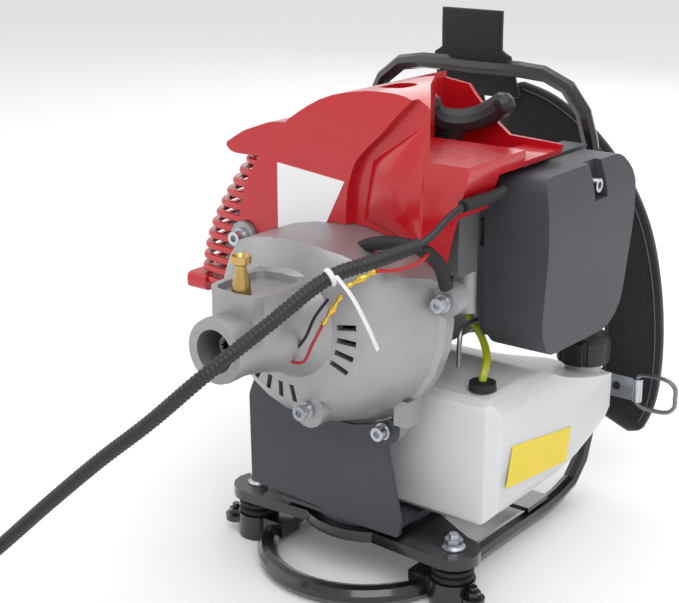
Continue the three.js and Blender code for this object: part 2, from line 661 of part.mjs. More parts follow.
// The pull grip: a curved bar ending in two raised ears, on a short stem.
function starterGrip() {
  const ears = [onGrip(33, -22), onGrip(33, 22)];
  const bar = tube([ears[0], onGrip(24, -13), onGrip(21, 0), onGrip(24, 13), ears[1]], 7.5, 8, 10);
  const balls = ears.map((point) => solid(new THREE.SphereGeometry(8, 10, 6).translate(...point)));
  const stem = turned([[0, 3], [6.5, 3], [8.5, 6], [8.5, 20], [0, 20]], ROPE_TOP, PULL, 16);
  const ropeHole = rod(1.9, 10, onGrip(1, 0), PULL, 10);
  return joined(bar, ...balls, stem).subtract(ropeHole);
}

// ---- intake side ----
function insulator() {
  return along(rounded([[2, 216], [34, 216], [34, 244], [2, 244]], 6), 28.5, 36);
}

function carburettor() {
  const body = along(rounded([[0, 192], [42, 192], [42, 240], [0, 240]], 5), 36.3, 57.4);
  const bowl = rod(9.6, 30, [48, 26, 165], [0, 0, 1], 16);
  const throttleTop = rod(8.5, 7, [47, 10, 238], [0, 0, 1], 16);
  const shaft = rod(2.2, 12, [48, -9, 206], [0, 1, 0], 10);
  return joined(body, bowl, throttleTop, shaft);
}

// The bell crank the throttle cable pulls, on the front of the carburettor.
const LEVER_PIVOT = [48, -4, 206];

function throttleLever() {
  const [x, y, z] = LEVER_PIVOT;
  const boss = rod(5.5, 3, [x, y - 3, z], [0, 1, 0], 16);
  const arm = across([[x - 3, z], [x + 3, z], [x + 9, z + 20], [x + 3, z + 21]], y - 3, y);
  const hole = rod(2.5, 8, [x, y - 6, z], [0, 1, 0], 12);
  return joined(boss, arm).subtract(hole);
}

// The choke lever's bent steel rod, hanging below the air cleaner.
const CHOKE_PIVOT = [55.6, 12, 160];

function chokeLever() {
  const [x, y, z] = CHOKE_PIVOT;
  return tube([[x, y + 16, z], [x, y, z], [x + 2, y - 8, z - 4], [x + 4, y - 12, z - 22]], 1.6, 10, 8);
}

const BOOT_POINTS = [[82, -36, 246], [83, -18, 246], [82.5, 2, 246], [76, 12, 246], [66, 14, 245.5]];

function cableBoot() {
  return tube(BOOT_POINTS, 3.6, 8, 10);
}

// Three-sided outline of the air cleaner seen from the side, drawn in by an inset.
function cleanerOutline(inset) {
  return rounded([
    [21 + inset, 160], [34, 143 + inset], [112, 140 + inset], [125 - inset, 156], [131 - inset, 238],
    [120, 252 - inset], [24 + inset, 252 - inset], [20 + inset, 236],
  ], 9);
}

const CLEANER_X = 62; // joint between the air cleaner's base and its cover
const CLEANER_BOLT = [101, 84, 238];

function cleanerCover() {
  const wall = 3;
  const face = across(rounded([
    [CLEANER_X, 130], [95, 130], [101, 146], [105, 210], [104, 236], [95, 262], [CLEANER_X, 262],
  ], 8), 0, 140);
  const inner = across(rounded([
    [CLEANER_X - 1, 130], [92, 130], [98, 146], [102, 210], [101, 236], [92, 262], [CLEANER_X - 1, 262],
  ], 8), 0, 140);
  const shell = along(cleanerOutline(0), CLEANER_X, 110).intersect(face);
  const hollow = along(cleanerOutline(wall), CLEANER_X - 1, 110).intersect(inner);
  const notch = block([94, 76, 230], [110, 92, 256]);
  const notchWall = block([91, 73, 227], [110, 95, 256]);
  const boltHole = rod(2.8, 40, [80, CLEANER_BOLT[1], CLEANER_BOLT[2]], [1, 0, 0], 10);
  return shell.subtract(hollow.subtract(notchWall)).subtract(joined(notch, boltHole));
}

function cleanerBase() {
  const plate = along(cleanerOutline(1), 58, CLEANER_X - GAP).subtract(block([50, 10, 130], [70, 140, 150]));
  const flange = along(rounded([[40, 246], [124, 246], [122, 254], [42, 254]], 3), 58, 74)
    .subtract(along(rounded([[30, 240], [130, 240], [130, 252.4], [30, 252.4]], 2), 61, 80));
  const intake = rod(9, 8, [56, 20, 216], [1, 0, 0], 16);
  return joined(plate, flange).subtract(intake);
}

function filterElement() {
  return along(rounded([[32, 162], [112, 158], [118, 222], [34, 222]], 8), 64, 88);
}

// ---- fuel tank ----
function tankBody(inset) {
  const i = inset;
  const side = along(rounded([
    [-12 + i, 42 + i], [50, 42 + i], [93, 60 + i], [148 - i, 80 + i], [148 - i, 98 - i], [102, 108 - i],
    [74, 116 - i], [54, 126 - i], [-12 + i, 126 - i],
  ], 12), -100, 100);
  const top = raised(rounded([
    [-92 + i, -12 + i], [94 - i, -12 + i], [94 - i, 148 - i], [46 + i, 148 - i], [26, 112 - i], [-92 + i, 100 - i],
  ], 20), 30, 140);
  const front = across(rounded([
    [-92 + i, 52], [-74, 42 + i], [80, 42 + i], [94 - i, 56], [94 - i, 112], [84, 128 - i], [20, 128 - i],
    [-20, 108 - i], [-92 + i, 103 - i],
  ], 12), -20, 150);
  return side.intersect(top).intersect(front);
}

const CAP = [76, 128];
const NECK_TOP_Z = 117.5;

function fuelTank() {
  const neck = rod(12, NECK_TOP_Z - 100, [...CAP, 100], [0, 0, 1], 20);
  const mouth = rod(9.5, 30, [...CAP, 95], [0, 0, 1], 20);
  const grommetHole = rod(5, 20, [GROMMET[0], GROMMET[1], 115], [0, 0, 1], 14);
  return joined(tankBody(0), neck).subtract(joined(tankBody(2.5), mouth, grommetHole));
}

// The screw cap: a lobed skirt over the neck.
function fuelCap() {
  const z = NECK_TOP_Z - 8;
  const skirt = turned([[12.4, 0], [17, 0], [17.5, 2], [17.5, 15], [15, 18], [0, 18], [0, 8.4], [12.4, 8.4], [12.4, 0]],
    [...CAP, z], [0, 0, 1], 24);
  const grooves = Array.from({ length: 6 }, (_, i) => {
    const angle = (Math.PI * i) / 3;
    return rod(2.6, 30, [CAP[0] + 18.6 * Math.cos(angle), CAP[1] + 18.6 * Math.sin(angle), z - 1], [0, 0, 1], 8);
  });
  return skirt.subtract(joined(...grooves));
}

const GROMMET = [74, 4];

function grommet() {
  return turned([[3.3, -4], [4.7, -4], [4.7, 0.3], [8.5, 0.3], [8, 5], [3.3, 6], [3.3, -4]],
    [...GROMMET, 126.1], [0, 0, 1], 16);
}

function fuelLine() {
  return tube([
    [...GROMMET, 118], [...GROMMET, 126], [...GROMMET, 133], [72, 11, 140], [63, 24, 144.5], [52, 34, 150],
    [48, 30, 158], [48, 27, 163.6],
  ], 2.5, 18, 7);
}

// ---- locating pin ----
function locatingPin() {
  return turned([
    [0, 0], [3, 0], [3, 12.3], [5.5, 12.8], [5, 19], [3, 27], [3, 29], [5.6, 30.5], [5.8, 34.5], [4.6, 34.5], [3.5, 32.5],
    [0, 32.5],
  ], [0, PIN_Y, 190], [0, 0, 1], 20);
}

// ---- harness ----
const STRAP_Y = 174; // the side of the shoulder straps towards the frame
const STRAP_T = 8;

// A band of even width along a curve, as a flat outline.
function band(points, width, steps) {
  const curve = new THREE.CatmullRomCurve3(points.map(([x, z]) => new THREE.Vector3(x, z, 0)), false, 'centripetal');
  const left = [];
  const right = [];
  for (let i = 0; i <= steps; i += 1) {
    const at = curve.getPoint(i / steps);
    const way = curve.getTangent(i / steps);
    left.unshift([at.x - (way.y * width) / 2, at.y + (way.x * width) / 2]);
    right.push([at.x + (way.y * width) / 2, at.y - (way.x * width) / 2]);
  }
  return [...right, ...left];
}

const HOOP_MIDDLE_X = (HOOP_LEFT_X + HOOP_RIGHT_X) / 2;

function shoulderStrap(side) {
  const path = [[10, 258], [38, 250], [72, 226], [98, 188], [112, 130], [112, 74], [102, 48]]
    .map(([x, z]) => [HOOP_MIDDLE_X + side * x, z]);
  return across(band(path, 42, 14), STRAP_Y, STRAP_Y + STRAP_T);
}

function harnessYoke() {
  const fold = across(rectangle(-59, -12, 296, 329), 157, 161);
  const fall = along([
    [157, 300], [157, 292], [169, 266], [172.7, 270], [161, 300],
  ], -61, 3);
  return joined(fold, fall);
}

// ---- strap fitting on the right upright ----
const TAB_Z = 75;
const TAB_H = 16;
const KNUCKLE = [101, 161];

function strapTab() {
  const clip = turned([[7.1, 0], [9, 0], [9, TAB_H], [7.1, TAB_H], [7.1, 0]], [HOOP_RIGHT_X, 164.6, TAB_Z], [0, 0, 1], 18);
  const plate = across(rounded(rectangle(71, 100, TAB_Z, TAB_Z + TAB_H), 2), 160, 162);
  const knuckle = rod(3.4, TAB_H, [...KNUCKLE, TAB_Z], [0, 0, 1], 14);
  const pinHole = rod(1.9, TAB_H + 2, [...KNUCKLE, TAB_Z - 1], [0, 0, 1], 12);
  const hole = rod(3, 10, [86, 156, TAB_Z + TAB_H / 2], [0, 1, 0], 14);
  return joined(clip, plate, knuckle).subtract(joined(pinHole, hole));
}

// The wire bail that takes the strap: a closed frame bent from round wire.
function buckleBail() {
  const [x, y] = KNUCKLE;
  const [low, high] = [TAB_Z - 3, TAB_Z + TAB_H + 3];
  const half = tube([[x, y, (low + high) / 2], [x, y, high - 2], [x + 2, y, high], [x + 22, y, high],
    [x + 27, y, high - 5], [x + 27, y, (low + high) / 2]], 1.5, 14, 6);
  const other = tube([[x, y, (low + high) / 2 + 0.5], [x, y, low + 2], [x + 2, y, low], [x + 22, y, low],
    [x + 27, y, low + 5], [x + 27, y, (low + high) / 2 + 0.5]], 1.5, 14, 6);
  return joined(half, other);
}

// ---- throttle conduit and its handle ----
// The conduit's way from the engine, past the output bore, down to the floor.
const CORD_POINTS = [
  [73, -64, 229], [58, -84, 222], [45, -106, 216], [28, -138, 194], [9, -168, 170], [-47, -188, 117],
  [-80, -196, 86], [-116, -204, 51], [-134, -209, 34], [-156, -214, 14], [-172, -216, 5.4], [-194.4, -216, 5],
];
const COIL = [-225, -262]; // middle of the coil on the floor
const COIL_H = 17.4; // two turns high
const TAIL_POINTS = [[-196, -309, 5], [-186, -309, 6], [-176, -308.5, 11], [-168, -308, 15.6], [-164.6, -308, 16]];

function conduitCoil() {
  const [inner, outer] = [COIL_R - CORD_R, COIL_R + CORD_R];
  return turned([[inner, 0.4], [outer, 0.4], [outer, COIL_H], [inner, COIL_H], [inner, 0.4]], [...COIL, 0], [0, 0, 1], 26);
}

const HANDLE = [-164, -308, 16];
const TRIGGER_PIVOT = [-128, -327];

function throttleHandle() {
  const [x, y, z] = HANDLE;
  const grip = turned([
    [0, 0], [6, 0], [9, 12], [15, 16], [16, 22], [16, 46], [14.5, 60], [15.5, 76], [14.5, 98], [0, 98],
  ], HANDLE, [1, 0, 0], 20);
  const cheeks = block([x + 26, y - 25, z - 9], [x + 48, y - 6, z + 9]);
  const room = block([x + 20, y - 30, z - 5.6], [x + 60, y - 15, z + 5.6]);
  const pin = rod(2, 18, [...TRIGGER_PIVOT, z - 9], [0, 0, 1], 10);
  const bore = rod(9, 50, [x + 55, y, z], [1, 0, 0], 20);
  return joined(joined(grip, cheeks).subtract(joined(room, bore)), pin);
}

function throttleTrigger() {
  const [x, y] = TRIGGER_PIVOT;
  const lever = raised(rounded([
    [x - 5, y - 3], [x + 5, y - 5], [x + 34, y - 9], [x + 56, y - 17], [x + 57, y - 12], [x + 36, y - 3], [x, y + 3.4],
  ], 4), HANDLE[2] - 5, HANDLE[2] + 5);
  const hole = rod(2.4, 14, [x, y, HANDLE[2] - 7], [0, 0, 1], 12);
  return lever.subtract(hole);
}

function stopSwitch() {
  const [x, y, z] = HANDLE;
  return block([x + 28, y - 4, z + 16.4], [x + 40, y + 4, z + 20]);
}

// ---- the assembly ----
const BUFFER_Z = MOUNT_BASE_Z;
const REAR_BUFFER_Z = BASE_Z + FRAME_TUBE_R + GAP + CROSS_MEMBER_T;

piece('front_loop', frontLoop(), blackPaint);
piece('hoop_frame', hoopFrame(), blackPaint);
piece('cross_member', crossMember(), blackPaint);
piece('mount_clamp_left', frontClamp(-1), blackPaint);
piece('mount_clamp_right', frontClamp(1), blackPaint);
piece('buffer_left', rubberBuffer(-MOUNT_X, MOUNT_Y, BUFFER_Z), rubber);
piece('buffer_right', rubberBuffer(MOUNT_X, MOUNT_Y, BUFFER_Z), rubber);
piece('buffer_rear', rubberBuffer(0, REAR_MOUNT_Y, REAR_BUFFER_Z), rubber);
piece('mounting_plate', mountingPlate(), blackPaint);
piece('mount_nut_left', flangeNut(-MOUNT_X, MOUNT_Y), zinc);
piece('mount_nut_right', flangeNut(MOUNT_X, MOUNT_Y), zinc);
piece('engine_bracket', engineBracket(), greyPaint);
piece('fan_cover', fanCover(), castAlloy);
piece('bolt_upper_left', lugBolt('upper_left', RIM_Y - 12 - GAP), zinc);
piece('bolt_right', lugBolt('right', RIM_Y - 12 - GAP), zinc);
piece('bolt_bracket', lugBolt('bracket', BRACKET_Y - GAP), zinc);
piece('bolt_lower', socketBolt([LOWER_BOLT[0], -82 - GAP, LOWER_BOLT[1]], [0, 1, 0], 24), zinc);
piece('locating_pin', locatingPin(), brassPlate);
piece('clutch_drum', clutchDrum(), steel);
piece('output_bearing', bearing(-92), steel);
piece('clutch_shoe_upper', clutchShoe(1), steel);
piece('clutch_shoe_lower', clutchShoe(-1), steel);
piece('crankshaft', crankshaft(), steel);
piece('flywheel_fan', flywheel(), castAlloy);
piece('crankcase', crankcase(), castAlloy);
piece('cylinder', cylinder(), castAlloy);
piece('piston', piston(), castAlloy);
piece('spark_plug', sparkPlug(), steel);
piece('top_cover', topCover(), redPlastic);
piece('muffler', muffler(), steel);
piece('muffler_guard', mufflerGuard(), redPlastic);
piece('starter_case', starterCase(), blackPlastic);
piece('starter_pulley', starterPulley(), blackPlastic);
piece('starter_grip', starterGrip(), blackPlastic);
piece('insulator', insulator(), blackPlastic);
piece('carburettor', carburettor(), castAlloy);
piece('throttle_lever', throttleLever(), steel);
piece('choke_lever', chokeLever(), steel);
piece('cable_boot', cableBoot(), rubber);
piece('air_cleaner_base', cleanerBase(), darkPlastic);
piece('filter_element', filterElement(), foam);
piece('air_cleaner_cover', cleanerCover(), darkPlastic);
piece('bolt_air_cleaner', socketBolt([CLEANER_BOLT[0] - 6.7, CLEANER_BOLT[1], CLEANER_BOLT[2]], [-1, 0, 0], 12), zinc);
piece('fuel_tank', fuelTank(), tankPlastic);
piece('fuel_cap', fuelCap(), blackPlastic);
piece('tank_grommet', grommet(), rubber);
piece('fuel_line', fuelLine(), fuelHose);
piece('harness_yoke', harnessYoke(), webbing);
piece('shoulder_strap_right', shoulderStrap(1), webbing);
piece('shoulder_strap_left', shoulderStrap(-1), webbing);
piece('strap_tab', strapTab(), zinc);
piece('buckle_bail', buckleBail(), steel);
piece('throttle_conduit', tube(CORD_POINTS, CORD_R, 32, 8), blackPlastic);
piece('conduit_coil', conduitCoil(), blackPlastic);
piece('conduit_tail', tube(TAIL_POINTS, CORD_R, 6, 8), blackPlastic);
piece('throttle_handle', throttleHandle(), blackPlastic);
piece('throttle_trigger', throttleTrigger(), blackPlastic);
piece('stop_switch', stopSwitch(), redPlastic);

// The frame's origin is under the middle of everything but the conduit.
const ORIGIN = [-15.5, 17.5];
assembly.position.set(-ORIGIN[0], -ORIGIN[1], 0);

export default assembly;
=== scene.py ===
"""Looks of a concrete vibrator's backpack power unit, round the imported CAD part. Metres, +Z up."""
import math
import bpy
import numpy as np
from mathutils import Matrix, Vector


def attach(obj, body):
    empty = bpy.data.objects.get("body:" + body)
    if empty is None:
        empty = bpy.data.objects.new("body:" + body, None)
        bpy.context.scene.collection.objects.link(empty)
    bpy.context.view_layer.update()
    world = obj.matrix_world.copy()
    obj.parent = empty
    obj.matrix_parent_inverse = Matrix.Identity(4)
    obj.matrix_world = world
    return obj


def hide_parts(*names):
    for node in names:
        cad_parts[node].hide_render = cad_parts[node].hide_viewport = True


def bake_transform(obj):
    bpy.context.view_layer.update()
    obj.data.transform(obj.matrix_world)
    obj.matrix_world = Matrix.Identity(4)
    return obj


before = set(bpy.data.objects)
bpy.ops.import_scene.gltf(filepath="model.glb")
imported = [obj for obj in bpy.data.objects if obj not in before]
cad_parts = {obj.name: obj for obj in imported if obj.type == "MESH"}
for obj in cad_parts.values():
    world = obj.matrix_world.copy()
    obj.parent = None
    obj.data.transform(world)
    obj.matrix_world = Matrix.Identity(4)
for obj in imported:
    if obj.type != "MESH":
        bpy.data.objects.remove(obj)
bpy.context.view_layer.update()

# Drawing millimetres to the frame's metres: the turntable axis stands here in the frame.
AXIS_X, AXIS_Y = 0.0155, -0.0175


def at(x, y, z):
    """A place in drawing millimetres, measured from the turntable axis on the floor, as metres."""
    return np.array([x / 1000 + AXIS_X, y / 1000 + AXIS_Y, z / 1000])


def line_of(points):
    return np.array([at(*p) for p in points])


# ---- camera: 37 degrees round, 17.8 degrees up ----
AZIMUTH, ELEVATION = math.radians(37), math.radians(17.8)
BACK = Vector((
    math.sin(AZIMUTH) * math.cos(ELEVATION),
    -math.cos(AZIMUTH) * math.cos(ELEVATION),
    math.sin(ELEVATION),
))
camera = bpy.data.objects.new("camera", bpy.data.cameras.new("camera"))
bpy.context.scene.collection.objects.link(camera)
camera.data.sensor_width = 36
camera.data.lens = 74.2
camera.location = Vector(at(468.9, -659.7, 426.9))
camera.rotation_mode = "QUATERNION"
camera.rotation_quaternion = (-BACK).to_track_quat("-Z", "Y")
bpy.context.scene.camera = camera


# ---- materials ----
def linear(code):
    """sRGB hex to linear RGB."""
    c = np.array([int(code[i:i + 2], 16) / 255 for i in (0, 2, 4)])
    return tuple(np.where(c <= 0.04045, c / 12.92, ((c + 0.055) / 1.055) ** 2.4)) + (1.0,)


def add(tree, kind, settings=None, **links):
    """Adds a node, sets its properties and inputs by name, and links sockets into its inputs."""
    node = tree.nodes.new(kind)
    for key, value in (settings or {}).items():
        if hasattr(node, key):
            setattr(node, key, value)
        else:
            node.inputs[key].default_value = value
    for key, socket in links.items():
        tree.links.new(socket, node.inputs[key.replace("_", " ")])
    return node


SLOW_NOISE = 38.0  # colour clouds about 26 mm across
SMUT_NOISE = 90.0  # dirt patches about 11 mm across
BUMP_DEPTH = 0.0004


def surface(name, color, rough, metal=0.0, grain=1.5, tone=0.12, bump=0.1, relief=None, dirt=0.0,
            shader=None):
    """A base: colour mottled by slow noise, roughness broken by finer noise, and a bump at a grain in mm.

    relief is a function that returns a height socket to use in place of the plain grain."""
    material = bpy.data.materials.new(name)
    material.use_nodes = True
    tree = material.node_tree
    bsdf = tree.nodes["Principled BSDF"]
    place = add(tree, "ShaderNodeTexCoord").outputs["Object"]
    slow = add(tree, "ShaderNodeTexNoise", {"Scale": SLOW_NOISE, "Detail": 4.0}, Vector=place)
    fine = add(tree, "ShaderNodeTexNoise", {"Scale": 1000.0 / grain, "Detail": 3.0}, Vector=place)
    base = linear(color)
    dark = tuple(c * (1 - tone) for c in base[:3]) + (1.0,)
    light = tuple(min(1, c * (1 + tone)) for c in base[:3]) + (1.0,)
    mottle = add(tree, "ShaderNodeMix", {"data_type": "RGBA"})
    mottle.inputs[6].default_value = dark
    mottle.inputs[7].default_value = light
    tree.links.new(slow.outputs["Fac"], mottle.inputs[0])
    color_socket = mottle.outputs[2]
    if dirt:
        smut = add(tree, "ShaderNodeTexNoise", {"Scale": SMUT_NOISE, "Detail": 8.0, "Roughness": 0.7},
                   Vector=place)
        ramp = add(tree, "ShaderNodeMapRange", {"From Min": 0.56, "From Max": 0.74, "To Max": dirt},
                   Value=smut.outputs["Fac"])
        worn = add(tree, "ShaderNodeMix", {"data_type": "RGBA"})
        worn.inputs[7].default_value = tuple(c * 0.45 for c in base[:3]) + (1.0,)
        tree.links.new(color_socket, worn.inputs[6])
        tree.links.new(ramp.outputs[0], worn.inputs[0])
        color_socket = worn.outputs[2]
    tree.links.new(color_socket, bsdf.inputs["Base Color"])
    spread = {"To Min": max(0.02, rough - 0.07), "To Max": min(1.0, rough + 0.09)}
    uneven = add(tree, "ShaderNodeMapRange", spread, Value=fine.outputs["Fac"])
    tree.links.new(uneven.outputs[0], bsdf.inputs["Roughness"])
    height = relief(tree, place) if relief else fine.outputs["Fac"]
    lift = add(tree, "ShaderNodeBump", {"Strength": bump, "Distance": BUMP_DEPTH}, Height=height)
    tree.links.new(lift.outputs["Normal"], bsdf.inputs["Normal"])
    bsdf.inputs["Metallic"].default_value = metal
    for key, value in (shader or {}).items():
        bsdf.inputs[key].default_value = value
    return material


def weave(tree, place):
    """Height of a plain weave: two crossed sine waves 1.4 mm apart, multiplied together."""
    wave = {"Scale": 230.0, "wave_type": "BANDS"}
    across = add(tree, "ShaderNodeTexWave", {**wave, "bands_direction": "Z"}, Vector=place)
    along = add(tree, "ShaderNodeTexWave", {**wave, "bands_direction": "X"}, Vector=place)
    both = add(tree, "ShaderNodeMath", {"operation": "MULTIPLY"})
    tree.links.new(across.outputs["Fac"], both.inputs[0])
    tree.links.new(along.outputs["Fac"], both.inputs[1])
    return both.outputs[0]


def pebble(tree, place):
    """Height of a moulded texture: small round cells 0.5 mm across."""
    cells = add(tree, "ShaderNodeTexVoronoi", {"Scale": 2000.0, "feature": "SMOOTH_F1"}, Vector=place)
    return cells.outputs["Distance"]


# Glossy paint over steel: a clear top coat gives the sharp window-like lines on the tubes.
gloss_black = surface("black_enamel_sprayed", "101114", 0.22, grain=2.5, bump=0.05,
                      shader={"Coat Weight": 0.6, "Coat Roughness": 0.08})
# Satin paint on the pressed bracket, dulled by handling.
satin_grey = surface("grey_satin_paint", "3a3b42", 0.42, grain=0.8, bump=0.18, dirt=0.2)
# Bead blasted die casting: grainy, dull and slightly cloudy.
cast_alloy = surface("aluminium_bead_blasted_casting", "a5a4a6", 0.42, metal=0.72, grain=0.45, tone=0.08,
                     bump=0.38, dirt=0.25)
zinc = surface("steel_zinc_plated", "c4c8cf", 0.24, metal=1.0, grain=0.3, tone=0.06, bump=0.1, dirt=0.12)
steel = surface("steel_bare_oiled", "86888c", 0.32, metal=1.0, grain=0.6, bump=0.15, dirt=0.3)
brass = surface("steel_yellow_passivated", "c2a467", 0.28, metal=1.0, grain=0.4, tone=0.2, bump=0.12,
                dirt=0.2)
# Glossy moulded ABS: barely uneven, so highlights run soft but bright.
red = surface("abs_red_moulded", "b8121d", 0.24, grain=6.0, tone=0.05, bump=0.06,
              shader={"Coat Weight": 0.35, "Coat Roughness": 0.1})
black = surface("nylon_black_moulded", "1d1e21", 0.42, grain=0.7, bump=0.16)
# Fine spark eroded mould texture, a little blue.
cleaner = surface("nylon_grey_textured", "3d3e45", 0.5, bump=0.35, relief=pebble)
foam = surface("foam_open_cell", "2b2b2b", 0.95, grain=1.2, bump=0.9)
rubber = surface("rubber_moulded", "141417", 0.62, grain=0.6, bump=0.2)
# Blow moulded polyethylene: light goes in and comes back milky.
tank_white = surface("polyethylene_blow_moulded", "d2d4d8", 0.38, grain=3.0, tone=0.03, bump=0.1,
                     shader={"Subsurface Weight": 0.55, "Subsurface Scale": 0.012,
                             "Subsurface Radius": (1.0, 1.0, 1.1)})
hose_yellow = surface("hose_polyurethane", "b9c21c", 0.2, grain=2.0, bump=0.04,
                      shader={"Transmission Weight": 0.35, "IOR": 1.48})
webbing = surface("webbing_polypropylene_woven", "15151a", 0.85, tone=0.25, bump=0.8, relief=weave,
                  shader={"Sheen Weight": 0.25})
stitch = surface("thread_polyester", "55565c", 0.8, grain=0.3, bump=0.5)
label_white = surface("label_vinyl_white", "e9e9ea", 0.35, grain=4.0, tone=0.02, bump=0.04)
label_yellow = surface("label_vinyl_yellow", "e2c81d", 0.38, grain=4.0, tone=0.04, bump=0.04)
gold = surface("brass_tinned_crimped", "d8b24a", 0.25, metal=1.0, grain=0.5, bump=0.1)
wire_red = surface("wire_pvc_red", "a31218", 0.35, grain=1.0, bump=0.08)
tie_white = surface("nylon_natural", "dcdde0", 0.35, grain=1.0, bump=0.05,
                    shader={"Subsurface Weight": 0.3, "Subsurface Scale": 0.002})

NODE_LOOKS = {
    gloss_black: ["front_loop", "hoop_frame", "cross_member", "mount_clamp_left", "mount_clamp_right",
                  "mounting_plate"],
    rubber: ["buffer_left", "buffer_right", "buffer_rear", "cable_boot", "tank_grommet"],
    zinc: ["mount_nut_left", "mount_nut_right", "bolt_upper_left", "bolt_right", "bolt_bracket",
           "bolt_lower",
           "bolt_air_cleaner", "strap_tab"],
    satin_grey: ["engine_bracket"],
    cast_alloy: ["fan_cover", "flywheel_fan", "crankcase", "cylinder", "piston", "carburettor"],
    brass: ["locating_pin"],
    steel: ["clutch_drum", "output_bearing", "clutch_shoe_upper", "clutch_shoe_lower", "crankshaft",
            "spark_plug",
            "muffler", "throttle_lever", "choke_lever", "buckle_bail"],
    red: ["top_cover", "muffler_guard", "stop_switch"],
    black: ["starter_case", "starter_pulley", "starter_grip", "insulator", "fuel_cap", "throttle_handle",
            "throttle_trigger"],
    cleaner: ["air_cleaner_base", "air_cleaner_cover"],
    foam: ["filter_element"],
    tank_white: ["fuel_tank"],
    hose_yellow: ["fuel_line"],
}
# Edge radius in mm that each moulding, casting or pressing shows.
EDGE_MM = {"top_cover": 1.6, "air_cleaner_cover": 2.0, "air_cleaner_base": 0.8, "fuel_tank": 3.0,
           "fan_cover": 1.0, "mounting_plate": 0.8, "engine_bracket": 0.6, "starter_grip": 0.6,
           "muffler": 2.0, "throttle_handle": 1.0}


def smoothing(angle):
    """A node group that welds a solid and shades it smooth except along edges sharper than an angle."""
    group = bpy.data.node_groups.new("smooth_but_edges", "GeometryNodeTree")
    group.interface.new_socket("Geometry", in_out="INPUT", socket_type="NodeSocketGeometry")
    group.interface.new_socket("Geometry", in_out="OUTPUT", socket_type="NodeSocketGeometry")
    start = add(group, "NodeGroupInput")
    end = add(group, "NodeGroupOutput")
    weld = add(group, "GeometryNodeMergeByDistance", {"Distance": 1e-6}, Geometry=start.outputs[0])
    faces = add(group, "GeometryNodeSetShadeSmooth", {"domain": "FACE"}, Geometry=weld.outputs[0])
    turn = add(group, "GeometryNodeInputMeshEdgeAngle")
    sharp = add(group, "FunctionNodeCompare", {"operation": "GREATER_THAN", "data_type": "FLOAT"})
    group.links.new(turn.outputs["Unsigned Angle"], sharp.inputs[0])
    sharp.inputs[1].default_value = math.radians(angle)
    edges = add(group, "GeometryNodeSetShadeSmooth", {"domain": "EDGE", "Shade Smooth": False},
                Geometry=faces.outputs[0], Selection=sharp.outputs[0])
    group.links.new(edges.outputs[0], end.inputs[0])
    return group


SMOOTH = smoothing(28)


def finish_edges(obj, radius_mm):
    """Welds, rounds the hard edges of a solid by a radius and smooths the rest."""
    if radius_mm:
        bevel = obj.modifiers.new("edges", "BEVEL")
        bevel.width = radius_mm / 1000
        bevel.segments = 3
        bevel.limit_method = "ANGLE"
        bevel.angle_limit = math.radians(40)
        bevel.use_clamp_overlap = True
    smooth = obj.modifiers.new("smooth", "NODES")
    smooth.node_group = SMOOTH


for look, names in NODE_LOOKS.items():
    for name in names:
        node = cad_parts[name]
        node.data.materials.clear()
        node.data.materials.append(look)
        finish_edges(node, EDGE_MM.get(name, 0))


# ---- making pieces ----
def mesh_object(name, points, faces, look, body, smooth=True):
    mesh = bpy.data.meshes.new(name)
    mesh.from_pydata([tuple(map(float, p)) for p in points], [], [tuple(map(int, f)) for f in faces])
    mesh.materials.append(look)
    mesh.polygons.foreach_set("use_smooth", np.full(len(mesh.polygons), smooth))
    mesh.validate()
    obj = bpy.data.objects.new(name, mesh)
    bpy.context.scene.collection.objects.link(obj)
    if body:
        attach(obj, body)
    return obj


def mixed(first, second, start, end, now):
    """A blend of two values, all first at start and all second at end."""
    return (end - now) / (end - start) * first + (now - start) / (end - start) * second


def smooth_line(points, step):
    """Centripetal Catmull-Rom through points, resampled to even steps of arc length."""
    p = np.vstack([2 * points[0] - points[1], points, 2 * points[-1] - points[-2]])
    out = []
    for i in range(1, len(p) - 2):
        q = p[i - 1:i + 3]
        t = np.concatenate([[0], np.cumsum(np.linalg.norm(np.diff(q, axis=0), axis=1) ** 0.5)])
        u = np.linspace(t[1], t[2], 24, endpoint=False)[:, None]
        a = [mixed(q[k], q[k + 1], t[k], t[k + 1], u) for k in range(3)]
        b = [mixed(a[k], a[k + 1], t[k], t[k + 2], u) for k in range(2)]
        out.append(mixed(b[0], b[1], t[1], t[2], u))
    line = np.vstack(out + [points[-1:]])
    run = np.concatenate([[0], np.cumsum(np.linalg.norm(np.diff(line, axis=0), axis=1))])
    even = np.linspace(0, run[-1], max(3, int(round(run[-1] / step)) + 1))
    return np.stack([np.interp(even, run, line[:, k]) for k in range(3)], axis=1), run[-1]


def frames(line, up):
    """Side and normal vectors along a line, carried along it without twist."""
    way = np.gradient(line, axis=0)
    way /= np.linalg.norm(way, axis=1)[:, None]
    side = np.cross(way[0], up)
    side /= np.linalg.norm(side)
    sides = [side]
    for w in way[1:]:
        side = sides[-1] - w * np.dot(sides[-1], w)
        sides.append(side / np.linalg.norm(side))
    sides = np.array(sides)
    return sides, np.cross(sides, way)


def sweep(name, line, section, look, body, up=(0, 0, 1)):
    """Carries a closed section along a line.

    point(i, j) = line(i) + side * section(i, j, 0) + normal * section(i, j, 1)."""
    side, normal = frames(line, np.array(up, float))
    n, m = section.shape[:2]
    pts = line[:, None] + side[:, None] * section[..., :1] + normal[:, None] * section[..., 1:]
    i, j = np.meshgrid(np.arange(n - 1), np.arange(m), indexing="ij")
    k = (j + 1) % m
    quads = np.stack([i * m + j, i * m + k, (i + 1) * m + k, (i + 1) * m + j], axis=-1).reshape(-1, 4)
    pts = pts.reshape(-1, 3)
    caps = [list(range(m))[::-1], list(range((n - 1) * m, n * m))]
    return mesh_object(name, pts, [list(q) for q in quads] + caps, look, body)


